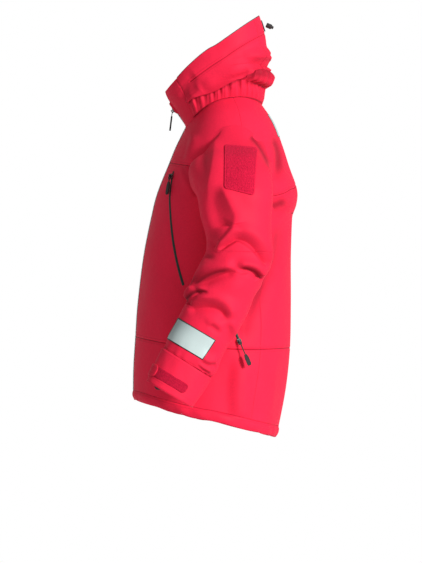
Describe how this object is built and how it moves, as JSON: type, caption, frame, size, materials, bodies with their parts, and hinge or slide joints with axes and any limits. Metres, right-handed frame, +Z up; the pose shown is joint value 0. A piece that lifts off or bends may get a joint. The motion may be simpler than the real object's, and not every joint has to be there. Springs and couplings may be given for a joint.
{
  "type": "foul weather sailing jacket",
  "caption": "Hooded waterproof sailing jacket in worn shape, with zipped pockets, cuff tabs, reflective tape, a badge patch and a hang loop.",
  "frame": {"origin": "lowest point of the hang loop inside the back of the neck", "axes": "+Z up when worn, -Y to the wearer's front, +X to the wearer's left"},
  "size_m": [0.7072, 0.3582, 0.9285],
  "materials": {
    "shell_fabric": "matt woven nylon",
    "trim_fabric": "matt woven nylon",
    "pile_fabric": "loop pile",
    "lining_fabric": "matt lining",
    "zip_tape": "coated zip tape",
    "zip_metal": "dark satin",
    "grip_rubber": "moulded",
    "reflective": "retroreflective tape",
    "cord": "braided"
  },
  "bodies": {
    "body": {"back_panel": "shell_fabric", "back_yoke": "shell_fabric", "back_skirt": "shell_fabric", "back_reflector": "reflective", "hem_band": "trim_fabric", "neck_band": "trim_fabric", "inner_collar": "lining_fabric", "hang_loop": "lining_fabric", "storm_flap": "lining_fabric", "chin_guard": "trim_fabric", "left_front_panel": "shell_fabric", "right_front_panel": "shell_fabric", "left_front_yoke": "shell_fabric", "right_front_yoke": "shell_fabric", "left_front_skirt": "shell_fabric", "right_front_skirt": "shell_fabric", "left_collar_front": "shell_fabric", "right_collar_front": "shell_fabric", "left_zip_stringer": "zip_tape", "right_zip_stringer": "zip_tape", "left_chest_zip": "zip_tape", "right_chest_zip": "zip_tape", "left_hand_zip": "zip_tape", "right_hand_zip": "zip_tape", "left_chest_pocket_bag": "lining_fabric", "right_chest_pocket_bag": "lining_fabric", "left_hand_pocket_bag": "lining_fabric", "right_hand_pocket_bag": "lining_fabric"},
    "hood": {"left_hood_side": "shell_fabric", "right_hood_side": "shell_fabric", "hood_centre": "shell_fabric", "hood_binding": "lining_fabric", "hood_cord": "cord", "hood_cord_lock": "grip_rubber"},
    "hood_button": {"hood_lock_button": "grip_rubber"},
    "main_slider": {"main_zip_slider": "zip_metal"},
    "main_pull": {"main_zip_pull": "grip_rubber"},
    "left_chest_slider": {"left_chest_zip_slider": "zip_metal"},
    "left_chest_pull": {"left_chest_zip_pull": "grip_rubber"},
    "left_hand_slider": {"left_hand_zip_slider": "zip_metal"},
    "left_hand_pull": {"left_hand_zip_pull": "grip_rubber"},
    "left_upper_arm": {"left_upper_sleeve": "shell_fabric", "badge_patch": "pile_fabric"},
    "left_forearm": {"left_forearm_sleeve": "shell_fabric", "left_cuff": "trim_fabric", "left_inner_cuff": "lining_fabric", "left_reflective_tape": "reflective", "left_cuff_loop_strip": "pile_fabric"},
    "left_tab": {"left_cuff_tab": "trim_fabric"},
    "right_chest_slider": {"right_chest_zip_slider": "zip_metal"},
    "right_chest_pull": {"right_chest_zip_pull": "grip_rubber"},
    "right_hand_slider": {"right_hand_zip_slider": "zip_metal"},
    "right_hand_pull": {"right_hand_zip_pull": "grip_rubber"},
    "right_upper_arm": {"right_upper_sleeve": "shell_fabric"},
    "right_forearm": {"right_forearm_sleeve": "shell_fabric", "right_cuff": "trim_fabric", "right_inner_cuff": "lining_fabric", "right_reflective_tape": "reflective", "right_cuff_loop_strip": "pile_fabric"},
    "right_tab": {"right_cuff_tab": "trim_fabric"}
  },
  "joints": [
    {"name": "hood_fold", "type": "hinge", "parent": "body", "child": "hood", "pos_m": [0, 0.0155, 0.0415], "axis": [-1, 0, 0], "range_deg": [0, 50]},
    {"name": "hood_lock_press", "type": "slide", "parent": "hood", "child": "hood_button", "axis": [0, -0.9195, 0.3931], "range_m": [0, 0.003], "stiffness_N_per_m": 300},
    {"name": "main_zip", "type": "slide", "parent": "body", "child": "main_slider", "axis": [0, 0.6005, -0.7996], "range_m": [0, 0.024]},
    {"name": "main_pull_swing", "type": "hinge", "parent": "main_slider", "child": "main_pull", "pos_m": [0, -0.18982, -0.0118], "axis": [-1, 0, 0], "range_deg": [-6, 50]},
    {"name": "left_chest_zip_run", "type": "hinge", "parent": "body", "child": "left_chest_slider", "pos_m": [-0.08698, 0.22742, -0.31444], "axis": [0.807, 0.491, 0.3281], "range_deg": [0, 26.5]},
    {"name": "left_chest_pull_swing", "type": "hinge", "parent": "left_chest_slider", "child": "left_chest_pull", "pos_m": [0.10653, -0.19559, -0.15316], "axis": [-0.7304, -0.6278, -0.269], "range_deg": [-3, 70]},
    {"name": "left_hand_zip_run", "type": "hinge", "parent": "body", "child": "left_hand_slider", "pos_m": [-0.09248, 0.50926, -0.29095], "axis": [0.8982, 0.4173, 0.1381], "range_deg": [-11.2, 0]},
    {"name": "left_hand_pull_swing", "type": "hinge", "parent": "left_hand_slider", "child": "left_hand_pull", "pos_m": [0.20711, -0.04212, -0.51698], "axis": [0.1498, -0.9184, -0.3662], "range_deg": [-4, 8]},
    {"name": "left_shoulder", "type": "hinge", "parent": "body", "child": "left_upper_arm", "pos_m": [0.15, -0.056, -0.128], "axis": [-1, 0, 0], "range_deg": [-20, 45]},
    {"name": "left_elbow", "type": "hinge", "parent": "left_upper_arm", "child": "left_forearm", "pos_m": [0.276, -0.052, -0.372], "axis": [-1, 0, 0], "range_deg": [-12, 35]},
    {"name": "left_tab_open", "type": "hinge", "parent": "left_forearm", "child": "left_tab", "pos_m": [0.256, -0.20456, -0.61014], "axis": [0.0995, -0.49, -0.866], "range_deg": [0, 100]},
    {"name": "right_chest_zip_run", "type": "hinge", "parent": "body", "child": "right_chest_slider", "pos_m": [0.08698, 0.22742, -0.31444], "axis": [0.807, -0.491, -0.3281], "range_deg": [0, 26.5]},
    {"name": "right_chest_pull_swing", "type": "hinge", "parent": "right_chest_slider", "child": "right_chest_pull", "pos_m": [-0.10653, -0.19559, -0.15316], "axis": [-0.7304, 0.6278, 0.269], "range_deg": [-3, 70]},
    {"name": "right_hand_zip_run", "type": "hinge", "parent": "body", "child": "right_hand_slider", "pos_m": [0.09248, 0.50926, -0.29095], "axis": [0.8982, -0.4173, -0.1381], "range_deg": [-11.2, 0]},
    {"name": "right_hand_pull_swing", "type": "hinge", "parent": "right_hand_slider", "child": "right_hand_pull", "pos_m": [-0.20711, -0.04212, -0.51698], "axis": [0.1498, 0.9184, 0.3662], "range_deg": [-4, 8]},
    {"name": "right_shoulder", "type": "hinge", "parent": "body", "child": "right_upper_arm", "pos_m": [-0.15, -0.056, -0.128], "axis": [-1, 0, 0], "range_deg": [-20, 45]},
    {"name": "right_elbow", "type": "hinge", "parent": "right_upper_arm", "child": "right_forearm", "pos_m": [-0.276, -0.052, -0.372], "axis": [-1, 0, 0], "range_deg": [-12, 35]},
    {"name": "right_tab_open", "type": "hinge", "parent": "right_forearm", "child": "right_tab", "pos_m": [-0.256, -0.20456, -0.61014], "axis": [0.0995, 0.49, 0.866], "range_deg": [0, 100]}
  ]
}
